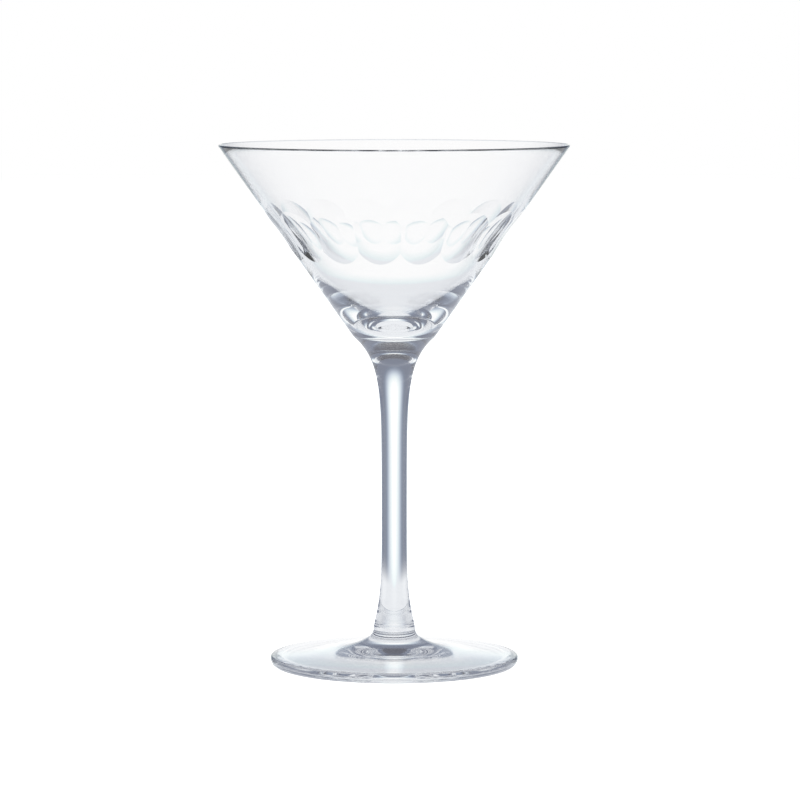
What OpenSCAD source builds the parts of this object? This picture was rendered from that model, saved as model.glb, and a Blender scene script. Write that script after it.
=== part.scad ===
// Martini glass in clear cut crystal: a conical bowl, a drawn stem and a disc foot.
// Each piece is formed by itself, and the three are fused hot, end to end.
// The glass is round about Z and stands on the plane z = 0.

/* [Overall] */
// Overall height
glass_h = 165; // [136:1:200]
// Outer diameter of the rim
rim_d = 110.4; // [90:0.2:134]
// Outer diameter of the foot
foot_d = 78.4; // [64:0.2:96]

/* [Bowl] */
// Height of the bowl above its joint with the stem
bowl_h = 60.5; // [50:0.5:73]
// Diameter of the joint between the bowl and the stem
bowl_joint_d = 25.6; // [21:0.2:31]
// Wall thickness at the rounded rim
rim_wall = 0.8; // [0.6:0.05:1.2]
// How much steeper the outside of the wall is than the inside, in degrees
wall_taper = 1.2; // [0.9:0.05:1.5]
// Radius of the curve from the inner wall towards the bottom
side_round = 66; // [54:1:80]
// Radius of the rounded bottom inside the bowl
bottom_round = 17; // [14:0.5:20.5]
// Solid glass between that joint and the lowest point inside the bowl
base_wall = 3; // [2.4:0.1:4]

/* [Cut band] */
// Number of oval cuts round the bowl
cut_count = 16; // [12:1:20]
// Depth of each cut at its middle
cut_depth = 0.78; // [0.6:0.02:1]
// Radius of the grinding wheel that makes the cuts
wheel_r = 62; // [50:1:76]
// How far below the rim the middle of the cuts lies
cut_drop = 28; // [23:0.5:34]
// Turn of the first cut from the +X axis, in degrees
cut_turn = 14.5; // [0:0.5:30]

/* [Stem] */
// Diameter of the stem where it is thinnest
stem_d = 8.1; // [6.6:0.1:10]
// Diameter of the joint between the stem and the foot
foot_joint_d = 13.3; // [11:0.1:16]
// How quickly the flare under the bowl dies away down the stem
top_reach = 7.5; // [6.2:0.1:9]
// How quickly the flare above the foot dies away up the stem
foot_reach = 8.8; // [7.2:0.1:10.6]

/* [Foot] */
// Height of the foot at its joint with the stem
foot_h = 11.4; // [9.5:0.1:14]
// Thickness of the foot at its edge
foot_edge = 3.5; // [2.9:0.1:4.2]
// Rise of the top of the foot from its edge to its collar
foot_rise = 3.2; // [2.6:0.1:4]
// Width of the curve that sweeps up into the collar
collar_sweep = 13; // [10:0.5:16]
// Radius of the lower edge of the foot
under_round = 2.4; // [1.8:0.1:2.8]
// Width of the flat ring that touches the table
rest_w = 1.5; // [1:0.1:3]
// Height of the hollow under the middle of the foot
foot_hollow = 2.5; // [1.9:0.1:3.1]

/* [Joints] */
// Size of the fine groove left round each fused joint
seam = 0.25; // [0.1:0.05:0.4]

/* [Hidden] */
$fa = 2;
$fs = 0.3;

// Exponent of the flare above the foot, which is fuller than a plain decay
foot_power = 1.4;
// Radius of the upper edge of the foot
crown_round = 0.6;
// Glass that the wheel clears on each side of a cut
wheel_spare = 2;
// Straight steps in each curve of an outline
steps = 12;
stem_steps = 48;

bowl_z = glass_h - bowl_h;
bowl_joint_r = bowl_joint_d / 2;
foot_joint_r = foot_joint_d / 2;
stem_r = stem_d / 2;
foot_r = foot_d / 2;

// The rim is a round bead, and both faces of the wall run tangent to it
bead_r = rim_wall / 2;
bead = [rim_d / 2 - bead_r, glass_h - bead_r];

// Outer face: from the edge of the joint, tangent to the outside of the bead
outer_run = bead - [bowl_joint_r, bowl_z];
outer_angle = atan2(outer_run[0], outer_run[1]) + asin(bead_r / norm(outer_run));
function outer_r(z) = bowl_joint_r + (z - bowl_z) * tan(outer_angle);

// Inner face: a straight wall, a wide curve and a rounded bottom, each tangent to the next
inner_angle = outer_angle + wall_taper;
up_wall = [sin(inner_angle), cos(inner_angle)];
off_wall = [-cos(inner_angle), sin(inner_angle)];
lip = bead + bead_r * off_wall;
bottom = [0, bowl_z + base_wall + bottom_round];
// The two circles touch when their centres are as far apart as their radii differ
span = lip + side_round * off_wall - bottom;
span_up = span * up_wall;
wall_run = span_up
    - sqrt(pow(span_up, 2) - span * span + pow(side_round - bottom_round, 2));
side = lip + side_round * off_wall - wall_run * up_wall;
bottom_angle = atan2(side[1] - bottom[1], bottom[0] - side[0]);

// Points on a circle from one angle to another
function arc(centre, r, from, to) =
    [for (i = [0:steps]) let (a = from + (to - from) * i / steps)
        centre + r * [cos(a), sin(a)]];

// One oval cut: a wheel laid along the cone, its axle square to the cone's slope
cut_z = glass_h - cut_drop;
wheel_reach = wheel_r - cut_depth;
cone_round_r = outer_r(cut_z) / cos(outer_angle);
wheel_w = 2 * (sqrt(2 * cone_round_r * cut_depth) + wheel_spare);

module wheel(turn) {
    rotate([0, 0, turn])
        translate([
            outer_r(cut_z) + wheel_reach * cos(outer_angle),
            0,
            cut_z - wheel_reach * sin(outer_angle)
        ])
            rotate([90, 0, 0])
                cylinder(h = wheel_w, r = wheel_r, center = true);
}

module bowl_blank() {
    rotate_extrude()
        polygon(concat(
            [[0, bowl_z]],
            [[bowl_joint_r - seam, bowl_z]],
            [[outer_r(bowl_z + seam), bowl_z + seam]],
            arc(bead, bead_r, -outer_angle, 180 - inner_angle),
            arc(side, side_round, -inner_angle, -bottom_angle),
            arc(bottom, bottom_round, -bottom_angle, -90)
        ));
}

module bowl() {
    color("aliceblue", 0.35)
        difference() {
            bowl_blank();
            for (i = [0:cut_count - 1])
                wheel(cut_turn + i * 360 / cut_count);
        }
}

// Radius of the stem at height z: its thinnest radius and what each flare adds
function flare(size, distance, reach, power) =
    size * exp(-pow(distance / reach, power));
function stem_radius(z) = stem_r
    + flare(bowl_joint_r - stem_r, bowl_z - z, top_reach, 1)
    + flare(foot_joint_r - stem_r, z - foot_h, foot_reach, foot_power);

module stem() {
    low = foot_h + seam;
    high = bowl_z - seam;
    // Cosine spacing puts the outline's points close together in the flares
    outline = [for (i = [0:stem_steps])
        let (z = low + (high - low) * (1 - cos(180 * i / stem_steps)) / 2)
            [stem_radius(z), z]];
    color("aliceblue", 0.35)
        rotate_extrude()
            polygon(concat(
                [[0, foot_h], [foot_joint_r - seam, foot_h]],
                outline,
                [[bowl_joint_r - seam, bowl_z], [0, bowl_z]]
            ));
}

// Top of the foot: a shallow cone, with a quarter ellipse that sweeps up to the collar
foot_slope = foot_rise / (foot_r - foot_joint_r);
collar_rise = foot_h - foot_edge - foot_rise;
function cone_top(r) = foot_edge + foot_slope * (foot_r - r);
collar = [for (i = [0:steps]) let (a = 90 * i / steps)
    let (r = foot_joint_r + collar_sweep * (1 - sin(a)))
        [r, cone_top(r) + collar_rise * (1 - cos(a))]];

// Underside: a shallow dome inside the ring that rests on the table
rest_r = foot_r - under_round - rest_w;
dome = [for (i = [0:steps]) let (r = rest_r * i / steps)
    [r, foot_hollow * (1 - pow(r / rest_r, 2))]];

module foot() {
    crown = [foot_r - crown_round, foot_edge - crown_round];
    under = [foot_r - under_round, under_round];
    color("aliceblue", 0.35)
        rotate_extrude()
            polygon(concat(
                dome,
                arc(under, under_round, -90, 0),
                arc(crown, crown_round, 0, 90),
                [for (p = collar) if (p[1] < foot_h - seam) p],
                [[foot_joint_r - seam, foot_h], [0, foot_h]]
            ));
}

bowl();
stem();
foot();
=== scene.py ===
"""Looks of a cut-crystal martini glass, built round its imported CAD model.

Every length is in metres and every angle in radians unless a name says degrees. The three
glass pieces are remade here with the CAD model's own formulas, on a much finer mesh.
"""

import math

import bmesh
import bpy
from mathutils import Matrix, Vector


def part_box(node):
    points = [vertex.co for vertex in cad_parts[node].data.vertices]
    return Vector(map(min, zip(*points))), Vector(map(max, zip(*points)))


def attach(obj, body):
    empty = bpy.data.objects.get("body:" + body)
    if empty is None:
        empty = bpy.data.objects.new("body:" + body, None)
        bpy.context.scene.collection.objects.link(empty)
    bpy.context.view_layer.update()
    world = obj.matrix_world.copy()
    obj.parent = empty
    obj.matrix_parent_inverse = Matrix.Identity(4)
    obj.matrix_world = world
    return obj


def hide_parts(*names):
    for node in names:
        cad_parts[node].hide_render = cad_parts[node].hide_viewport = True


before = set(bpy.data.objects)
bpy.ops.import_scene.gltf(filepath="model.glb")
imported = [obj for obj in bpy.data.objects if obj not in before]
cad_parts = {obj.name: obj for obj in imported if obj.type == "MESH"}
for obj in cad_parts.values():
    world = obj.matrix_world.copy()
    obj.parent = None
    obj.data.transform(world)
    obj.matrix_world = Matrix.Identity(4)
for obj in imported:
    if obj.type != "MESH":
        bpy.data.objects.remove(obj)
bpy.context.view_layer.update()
scene = bpy.context.scene

# ---------------------------------------------------------------- sizes

# From the frame
bowl_low, bowl_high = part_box("bowl")
foot_low, foot_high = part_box("foot")
GLASS_H = bowl_high.z
RIM_R = bowl_high.x
JOINT_Z = bowl_low.z
FOOT_R = foot_high.x
FOOT_H = foot_high.z

# The bowl, as in the CAD model
BEAD_R = 0.0004
BOWL_JOINT_R = 0.0128
WALL_TAPER = math.radians(1.2)
SIDE_ROUND = 0.066
BOTTOM_ROUND = 0.017
BASE_WALL = 0.003

# The band of oval cuts
CUT_COUNT = 16
CUT_DEPTH = 0.00078
WHEEL_R = 0.062
CUT_DROP = 0.028
CUT_TURN = math.radians(14.5)
# Longer than half a cut, along the slope of the bowl
CUT_SEARCH = 0.016

# The stem
STEM_R = 0.00405
FOOT_JOINT_R = 0.00665
TOP_REACH = 0.0075
FOOT_REACH = 0.0088
FOOT_POWER = 1.4

# The foot
FOOT_EDGE = 0.0035
FOOT_RISE = 0.0032
COLLAR_SWEEP = 0.013
UNDER_ROUND = 0.0024
CROWN_ROUND = 0.0006
REST_W = 0.0015
FOOT_HOLLOW = 0.0025

# Groove round each fused joint
SEAM = 0.00012

# Mesh columns in one cut, and round every piece
CUT_COLUMNS = 24
COLUMNS = CUT_COUNT * CUT_COLUMNS
# Mesh rows on the outside of the bowl: below, across and above the cuts
BELOW_ROWS = 40
ACROSS_ROWS = 28
ABOVE_ROWS = 24
# Mesh steps in each stretch of an outline
RIM_STEPS = 16
WALL_STEPS = 20
CURVE_STEPS = 40
STEM_STEPS = 160
DOME_STEPS = 24
UNDER_STEPS = 16
CROWN_STEPS = 10
CONE_STEPS = 16
COLLAR_STEPS = 48
# Halvings that find where a cut ends
HALVINGS = 40

# ---------------------------------------------------------------- outlines, as (radius, height)


def arc(centre, r, start, end, steps):
    """Points on a circle from one angle to another."""
    angles = [start + (end - start) * i / steps for i in range(steps + 1)]
    return [(centre[0] + r * math.cos(a), centre[1] + r * math.sin(a)) for a in angles]


def straight(start, end, steps):
    """The points between two ends of a straight line, without the ends."""
    shares = [i / steps for i in range(1, steps)]
    return [tuple(p + (q - p) * t for p, q in zip(start, end)) for t in shares]


bead = Vector((RIM_R - BEAD_R, GLASS_H - BEAD_R))
outer_run = bead - Vector((BOWL_JOINT_R, JOINT_Z))
OUTER_ANGLE = math.atan2(outer_run.x, outer_run.y) + math.asin(BEAD_R / outer_run.length)
INNER_ANGLE = OUTER_ANGLE + WALL_TAPER


def outer_r(z):
    """Radius of the bowl's outer cone at a height."""
    return BOWL_JOINT_R + (z - JOINT_Z) * math.tan(OUTER_ANGLE)


def inside_outline():
    """Over the rim and down the inside: a bead, a straight wall and two tangent curves."""
    up_wall = Vector((math.sin(INNER_ANGLE), math.cos(INNER_ANGLE)))
    off_wall = Vector((-math.cos(INNER_ANGLE), math.sin(INNER_ANGLE)))
    lip = bead + BEAD_R * off_wall
    bottom = Vector((0, JOINT_Z + BASE_WALL + BOTTOM_ROUND))
    span = lip + SIDE_ROUND * off_wall - bottom
    span_up = span.dot(up_wall)
    apart = SIDE_ROUND - BOTTOM_ROUND
    wall_run = span_up - math.sqrt(span_up**2 - span.length_squared + apart**2)
    side = lip + SIDE_ROUND * off_wall - wall_run * up_wall
    bottom_angle = math.atan2(side.y - bottom.y, bottom.x - side.x)
    rim = arc(bead, BEAD_R, -OUTER_ANGLE, math.pi - INNER_ANGLE, RIM_STEPS)
    upper = arc(side, SIDE_ROUND, -INNER_ANGLE, -bottom_angle, CURVE_STEPS)
    lower = arc(bottom, BOTTOM_ROUND, -bottom_angle, -math.pi / 2, CURVE_STEPS)
    lower[-1] = (0, lower[-1][1])
    return rim + straight(rim[-1], upper[0], WALL_STEPS) + upper + lower[1:]


def stem_radius(z):
    """The stem's thinnest radius and what its two flares add."""
    top = (BOWL_JOINT_R - STEM_R) * math.exp(-(JOINT_Z - z) / TOP_REACH)
    low = (FOOT_JOINT_R - STEM_R) * math.exp(-(((z - FOOT_H) / FOOT_REACH) ** FOOT_POWER))
    return STEM_R + top + low


def stem_outline():
    """From the joint with the foot up to the joint with the bowl."""
    low, high = FOOT_H + SEAM, JOINT_Z - SEAM
    turns = [math.pi * i / STEM_STEPS for i in range(STEM_STEPS + 1)]
    shares = [(1 - math.cos(turn)) / 2 for turn in turns]
    heights = [low + (high - low) * t for t in shares]
    side = [(stem_radius(z), z) for z in heights]
    return [(FOOT_JOINT_R - SEAM, FOOT_H)] + side + [(BOWL_JOINT_R - SEAM, JOINT_Z)]


def foot_outline():
    """From the middle of the underside, round the edge and up to the joint with the stem."""
    rest_r = FOOT_R - UNDER_ROUND - REST_W
    shares = [i / DOME_STEPS for i in range(DOME_STEPS + 1)]
    dome = [(rest_r * t, FOOT_HOLLOW * (1 - t * t)) for t in shares]
    under_centre = (FOOT_R - UNDER_ROUND, UNDER_ROUND)
    under = arc(under_centre, UNDER_ROUND, -math.pi / 2, 0, UNDER_STEPS)
    crown_centre = (FOOT_R - CROWN_ROUND, FOOT_EDGE - CROWN_ROUND)
    crown = arc(crown_centre, CROWN_ROUND, 0, math.pi / 2, CROWN_STEPS)
    slope = FOOT_RISE / (FOOT_R - FOOT_JOINT_R)
    collar_rise = FOOT_H - FOOT_EDGE - FOOT_RISE
    collar = []
    for i in range(COLLAR_STEPS):
        a = math.pi / 2 * i / COLLAR_STEPS
        r = FOOT_JOINT_R + COLLAR_SWEEP * (1 - math.sin(a))
        z = FOOT_EDGE + slope * (FOOT_R - r) + collar_rise * (1 - math.cos(a))
        if z < FOOT_H - SEAM:
            collar.append((r, z))
    cone = straight(crown[-1], collar[0], CONE_STEPS)
    return dome + under + crown + cone + collar + [(FOOT_JOINT_R - SEAM, FOOT_H)]


# ---------------------------------------------------------------- meshes


def ring(r, z, angles):
    """One row of points round the axis, or a single point on it."""
    if r == 0:
        return [(0, 0, z)]
    return [(r * math.cos(a), r * math.sin(a), z) for a in angles]


def glass_piece(name, rings, sharp_rings, sharp_column=None):
    """A closed solid from rows of points. An end that isn't a point gets a flat face.

    sharp_rings are the rows that are crisp edges. sharp_column(row, column) says where a
    crisp edge climbs from one row to the next. The flat ends are the fused joints, and they
    take the second material.
    """
    points = [p for row in rings for p in row]
    first = [sum(len(row) for row in rings[:i]) for i in range(len(rings))]

    def at(row, column):
        return first[row] + column % len(rings[row])

    faces = []
    sharp = set()
    for row in range(len(rings) - 1):
        for c in range(COLUMNS):
            corners = [at(row, c), at(row, c + 1), at(row + 1, c + 1), at(row + 1, c)]
            faces.append(list(dict.fromkeys(corners)))
            if sharp_column and sharp_column(row, c):
                sharp.add(frozenset((at(row, c), at(row + 1, c))))
    joints = len(faces)
    if len(rings[0]) > 1:
        faces.append([at(0, c) for c in reversed(range(COLUMNS))])
    if len(rings[-1]) > 1:
        faces.append([at(len(rings) - 1, c) for c in range(COLUMNS)])
    for row in sharp_rings:
        sharp |= {frozenset((at(row, c), at(row, c + 1))) for c in range(COLUMNS)}

    mesh = bpy.data.meshes.new(name)
    mesh.from_pydata(points, [], faces)
    mesh.shade_smooth()
    for edge in mesh.edges:
        edge.use_edge_sharp = frozenset(edge.vertices) in sharp
    for face in mesh.polygons[joints:]:
        face.material_index = 1
    piece = bpy.data.objects.new(name, mesh)
    scene.collection.objects.link(piece)
    return piece


even_angles = [2 * math.pi * c / COLUMNS for c in range(COLUMNS)]


def spun_piece(name, outline, sharp_rings):
    """A piece that is round about the axis."""
    return glass_piece(name, [ring(r, z, even_angles) for r, z in outline], sharp_rings)


# The wheel that grinds a cut: a cylinder laid along the slope of the cone
cut_z = GLASS_H - CUT_DROP
wheel_reach = WHEEL_R - CUT_DEPTH
wheel_r = outer_r(cut_z) + wheel_reach * math.cos(OUTER_ANGLE)
wheel_z = cut_z - wheel_reach * math.sin(OUTER_ANGLE)


def wheel_face(z, away):
    """Radius of the wheel's near face at a height, at an angle away from the cut's middle."""
    return (wheel_r - math.sqrt(WHEEL_R**2 - (z - wheel_z) ** 2)) / math.cos(away)


def cut_limit(away, direction):
    """Height where a cut ends, above (1) or below (-1) its middle, found by halving."""
    inside = cut_z
    outside = cut_z + direction * CUT_SEARCH * math.cos(OUTER_ANGLE)
    if wheel_face(inside, away) >= outer_r(inside):
        return cut_z
    for _ in range(HALVINGS):
        middle = (inside + outside) / 2
        if wheel_face(middle, away) < outer_r(middle):
            inside = middle
        else:
            outside = middle
    return inside


def bowl_piece():
    """The bowl. Its rows follow the ends of the cuts, so that every cut has a crisp edge."""
    away = [math.pi / CUT_COUNT * (2 * j / CUT_COLUMNS - 1) for j in range(CUT_COLUMNS)]
    turn = [CUT_TURN + 2 * math.pi * i / CUT_COUNT for i in range(CUT_COUNT)]
    angles = [t + a for t in turn for a in away]
    limits = [(cut_limit(a, -1), cut_limit(a, 1)) for a in away]
    rim = inside_outline()

    def outside_row(start, end, share):
        """A row part of the way between two heights that differ from column to column."""
        row = []
        for c, angle in enumerate(angles):
            z = start(c) + (end(c) - start(c)) * share
            r = outer_r(z)
            if cut_low(c) < z < cut_high(c):
                r = min(r, wheel_face(z, away[c % CUT_COLUMNS]))
            row.append((r * math.cos(angle), r * math.sin(angle), z))
        return row

    def cut_low(c):
        return limits[c % CUT_COLUMNS][0]

    def cut_high(c):
        return limits[c % CUT_COLUMNS][1]

    def groove(c):
        return JOINT_Z + SEAM

    def rim_foot(c):
        return rim[0][1]

    rows = [ring(BOWL_JOINT_R - SEAM, JOINT_Z, angles)]
    rows += [outside_row(groove, cut_low, i / BELOW_ROWS) for i in range(BELOW_ROWS + 1)]
    for i in range(1, ACROSS_ROWS + 1):
        rows.append(outside_row(cut_low, cut_high, i / ACROSS_ROWS))
    for i in range(1, ABOVE_ROWS + 1):
        rows.append(outside_row(cut_high, rim_foot, i / ABOVE_ROWS))
    rows += [ring(r, z, angles) for r, z in rim[1:]]

    low_row = 1 + BELOW_ROWS
    high_row = low_row + ACROSS_ROWS

    def between_cuts(row, c):
        return c % CUT_COLUMNS == 0 and low_row <= row < high_row

    return glass_piece("bowl_glass", rows, (0, low_row, high_row), between_cuts)


bowl = bowl_piece()
stem_points = stem_outline()
stem = spun_piece("stem_glass", stem_points, (0, len(stem_points) - 1))
foot_points = foot_outline()
foot = spun_piece("foot_glass", foot_points, (len(foot_points) - 1,))

# ---------------------------------------------------------------- materials

CRYSTAL_IOR = 1.52
# Ripples left by forming: their detail and how rough that detail is
RIPPLE_DETAIL = 2.0
RIPPLE_ROUGH = 0.4
# Faint smudges: their fineness, detail, the noise that they span, and the dullest spot
SMUDGE_SCALE = 55.0
SMUDGE_DETAIL = 4.0
SMUDGE_ROUGH = 0.6
SMUDGE_FROM = 0.45
SMUDGE_TO = 0.75
DULLEST = 0.012


def set_input(tree, node, socket, value):
    """Sets an input to a number or colour, or links it to another node's output."""
    if isinstance(value, bpy.types.NodeSocket):
        tree.links.new(value, node.inputs[socket])
    else:
        node.inputs[socket].default_value = value


def new_material(name):
    """A material with an empty node tree, and a function that adds one node to it."""
    material = bpy.data.materials.new(name)
    material.use_nodes = True
    tree = material.node_tree
    tree.nodes.clear()

    def node(kind, **inputs):
        made = tree.nodes.new(kind)
        for socket, value in inputs.items():
            set_input(tree, made, socket.replace("_", " "), value)
        return made

    return material, node


def crystal(name, stretch, ripple):
    """Clear lead crystal. Its faint ripples are stretched by how the piece was formed."""
    material, node = new_material(name)
    place = node("ShaderNodeTexCoord").outputs["Object"]
    placed = node("ShaderNodeMapping", Vector=place, Scale=stretch).outputs["Vector"]
    waves = node(
        "ShaderNodeTexNoise",
        Vector=placed,
        Scale=1.0,
        Detail=RIPPLE_DETAIL,
        Roughness=RIPPLE_ROUGH,
    )
    bump = node(
        "ShaderNodeBump", Height=waves.outputs["Fac"], Distance=ripple, Strength=1.0
    )
    smudges = node(
        "ShaderNodeTexNoise",
        Vector=place,
        Scale=SMUDGE_SCALE,
        Detail=SMUDGE_DETAIL,
        Roughness=SMUDGE_ROUGH,
    )
    polish = node("ShaderNodeMapRange", Value=smudges.outputs["Fac"])
    polish.inputs["From Min"].default_value = SMUDGE_FROM
    polish.inputs["From Max"].default_value = SMUDGE_TO
    polish.inputs["To Min"].default_value = 0.0
    polish.inputs["To Max"].default_value = DULLEST
    surface = node(
        "ShaderNodeBsdfPrincipled",
        Base_Color=(1, 1, 1, 1),
        Roughness=polish.outputs["Result"],
        IOR=CRYSTAL_IOR,
        Transmission_Weight=1.0,
        Normal=bump.outputs["Normal"],
    )
    node("ShaderNodeOutputMaterial", Surface=surface.outputs[0])
    return material


def fused_joint():
    """Nothing shows where two pieces of glass have melted together."""
    material, node = new_material("fused_joint")
    clear = node("ShaderNodeBsdfTransparent")
    node("ShaderNodeOutputMaterial", Surface=clear.outputs[0])
    return material


joint = fused_joint()
finishes = {
    bowl: crystal("bowl_crystal", (40, 40, 60), 0.000004),
    stem: crystal("stem_crystal", (180, 180, 22), 0.000002),
    foot: crystal("foot_crystal", (70, 70, 240), 0.000004),
}
for piece, finish in finishes.items():
    piece.data.materials.append(finish)
    piece.data.materials.append(joint)
    piece.visible_shadow = False
    piece.visible_diffuse = False
    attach(piece, "root")
    node_name = piece.name.split("_")[0]
    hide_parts(node_name)

# ---------------------------------------------------------------- studio

# The tent's light, by degrees away from the middle of the nearest bright panel
FIELD = (
    (0, (1.0, 1.0, 1.0)),
    (8, (1.0, 1.0, 1.0)),
    (12.5, (0.84, 0.91, 0.92)),
    (16.5, (0.66, 0.73, 0.79)),
    (20.5, (0.45, 0.51, 0.60)),
    (24.5, (0.30, 0.34, 0.42)),
    (28.5, (0.20, 0.23, 0.30)),
    (34, (0.19, 0.21, 0.27)),
    (45, (0.19, 0.21, 0.27)),
)
# Half the turn from one panel to the next: four stand round the glass, one on each side
PANEL_GAP = math.radians(45)
# The panels' lower and upper edges, above the horizon
PANEL_LOW = 0.0
PANEL_HIGH = math.radians(0.65)
# Light falls off this much faster above the panel than beside it
HIGH_SQUEEZE = 1.6
# Below the panels lies the pale table, and high above them is a dim grey top
TABLE_FROM = math.radians(-9)
TABLE_TO = math.radians(-14)
TABLE_LEVEL = (0.8, 0.82, 0.85, 1)
TOP_FROM = math.radians(40.5)
TOP_TO = math.radians(48.5)
TOP_LEVEL = (0.12, 0.12, 0.14, 1)
TENT_LEVEL = 1.06
TENT_R = 3.0
TENT_SEGMENTS = 96
TENT_RINGS = 48

# The floor, the light over it and the camera
FLOOR_HALF = 4.0
FLOOR_PAINT = (0.92, 0.92, 0.92, 1)
LAMP_SIZE = 3.0
LAMP_WATTS = 60.0
LAMP_Z = 2.4
SENSOR_MM = 36.0
LENS_MM = 183.64
CAMERA_PLACE = (0, -1.2821, 0.2045)
CAMERA_TILT = math.radians(90 - 5.35)
CAMERA_TURN = math.radians(-0.081)
# Clear glass passes light between many faces before it gets out
BOUNCES = 32


def tent_light():
    """What each part of the tent's wall gives off. The tent stands still in the room."""
    material, node = new_material("light_tent")
    tree = material.node_tree

    def calc(operation, a, b=0.0):
        made = node("ShaderNodeMath")
        made.operation = operation
        set_input(tree, made, 0, a)
        set_input(tree, made, 1, b)
        return made.outputs[0]

    def step_between(value, low, high):
        made = node("ShaderNodeMapRange", Value=value)
        made.interpolation_type = "SMOOTHSTEP"
        made.inputs["From Min"].default_value = low
        made.inputs["From Max"].default_value = high
        return made.outputs["Result"]

    def blended(share, a, b, blend="MIX"):
        made = node("ShaderNodeMix")
        made.data_type = "RGBA"
        made.blend_type = blend
        set_input(tree, made, 0, share)
        set_input(tree, made, 6, a)
        set_input(tree, made, 7, b)
        return made.outputs[2]

    place = node("ShaderNodeTexCoord").outputs["Object"]
    axes = node("ShaderNodeSeparateXYZ", Vector=place)
    turned = calc("ARCTAN2", axes.outputs["X"], axes.outputs["Y"])
    sideways = calc("PINGPONG", turned, PANEL_GAP)
    height = calc("ARCSINE", calc("DIVIDE", axes.outputs["Z"], TENT_R))
    above = calc("MAXIMUM", calc("SUBTRACT", height, PANEL_HIGH), 0.0)
    above = calc("MULTIPLY", above, HIGH_SQUEEZE)
    below = calc("MINIMUM", calc("SUBTRACT", height, PANEL_LOW), 0.0)
    steep = calc("ADD", above, below)
    squares = calc("ADD", calc("MULTIPLY", sideways, sideways), calc("MULTIPLY", steep, steep))
    field = node("ShaderNodeValToRGB", Fac=calc("DIVIDE", calc("SQRT", squares), PANEL_GAP))
    stops = field.color_ramp.elements
    stops[0].color = (*FIELD[0][1], 1)
    stops[1].color = (*FIELD[-1][1], 1)
    for degrees, level in FIELD[1:-1]:
        stops.new(math.radians(degrees) / PANEL_GAP).color = (*level, 1)
    table = step_between(height, TABLE_FROM, TABLE_TO)
    low_part = blended(table, field.outputs["Color"], TABLE_LEVEL, "LIGHTEN")
    top = step_between(height, TOP_FROM, TOP_TO)
    colour = blended(top, low_part, TOP_LEVEL)
    glow = node("ShaderNodeEmission", Color=colour, Strength=TENT_LEVEL)
    node("ShaderNodeOutputMaterial", Surface=glow.outputs[0])
    material.cycles.emission_sampling = "NONE"
    return material


def light_tent():
    """A round tent about the glass, fixed in the room whichever side the glass is seen from."""
    mesh = bpy.data.meshes.new("light_tent")
    shape = bmesh.new()
    bmesh.ops.create_uvsphere(
        shape, u_segments=TENT_SEGMENTS, v_segments=TENT_RINGS, radius=TENT_R
    )
    shape.to_mesh(mesh)
    shape.free()
    mesh.materials.append(tent_light())
    tent = bpy.data.objects.new("light_tent", mesh)
    tent.location = (0, 0, GLASS_H / 2)
    tent.visible_camera = False
    tent.visible_diffuse = False
    tent.visible_shadow = False
    scene.collection.objects.link(tent)


def white_world():
    """The plain white background, which lights the floor too. The glass sees the tent instead."""
    world = bpy.data.worlds.new("white")
    world.use_nodes = True
    world.node_tree.nodes["Background"].inputs["Color"].default_value = (1, 1, 1, 1)
    world.cycles_visibility.glossy = False
    world.cycles_visibility.transmission = False
    return world


def studio_floor():
    """A plain pale floor that the glass stands on."""
    half = FLOOR_HALF
    mesh = bpy.data.meshes.new("floor")
    corners = [(-half, -half, 0), (half, -half, 0), (half, half, 0), (-half, half, 0)]
    mesh.from_pydata(corners, [], [(0, 1, 2, 3)])
    material, node = new_material("floor_white")
    paint = node("ShaderNodeBsdfDiffuse", Color=FLOOR_PAINT)
    node("ShaderNodeOutputMaterial", Surface=paint.outputs[0])
    mesh.materials.append(material)
    floor = bpy.data.objects.new("floor", mesh)
    scene.collection.objects.link(floor)
    floor.visible_transmission = False
    floor.visible_glossy = False


def overhead_light():
    """One wide soft light over the floor."""
    light = bpy.data.lights.new("overhead", "AREA")
    light.shape = "SQUARE"
    light.size = LAMP_SIZE
    light.energy = LAMP_WATTS
    lamp = bpy.data.objects.new("overhead", light)
    lamp.location = (0, 0, LAMP_Z)
    lamp.visible_glossy = False
    lamp.visible_transmission = False
    lamp.visible_camera = False
    scene.collection.objects.link(lamp)


def studio_camera():
    """A long lens a little above the rim, tilted slightly down."""
    data = bpy.data.cameras.new("camera")
    data.sensor_width = SENSOR_MM
    data.lens = LENS_MM
    data.clip_start = 0.05
    data.clip_end = 50.0
    camera = bpy.data.objects.new("camera", data)
    camera.location = CAMERA_PLACE
    camera.rotation_euler = (CAMERA_TILT, 0, CAMERA_TURN)
    scene.collection.objects.link(camera)
    scene.camera = camera


scene.world = white_world()
studio_floor()
overhead_light()
light_tent()
studio_camera()
scene.view_settings.view_transform = "Standard"
scene.cycles.max_bounces = BOUNCES
scene.cycles.glossy_bounces = BOUNCES
scene.cycles.transmission_bounces = BOUNCES
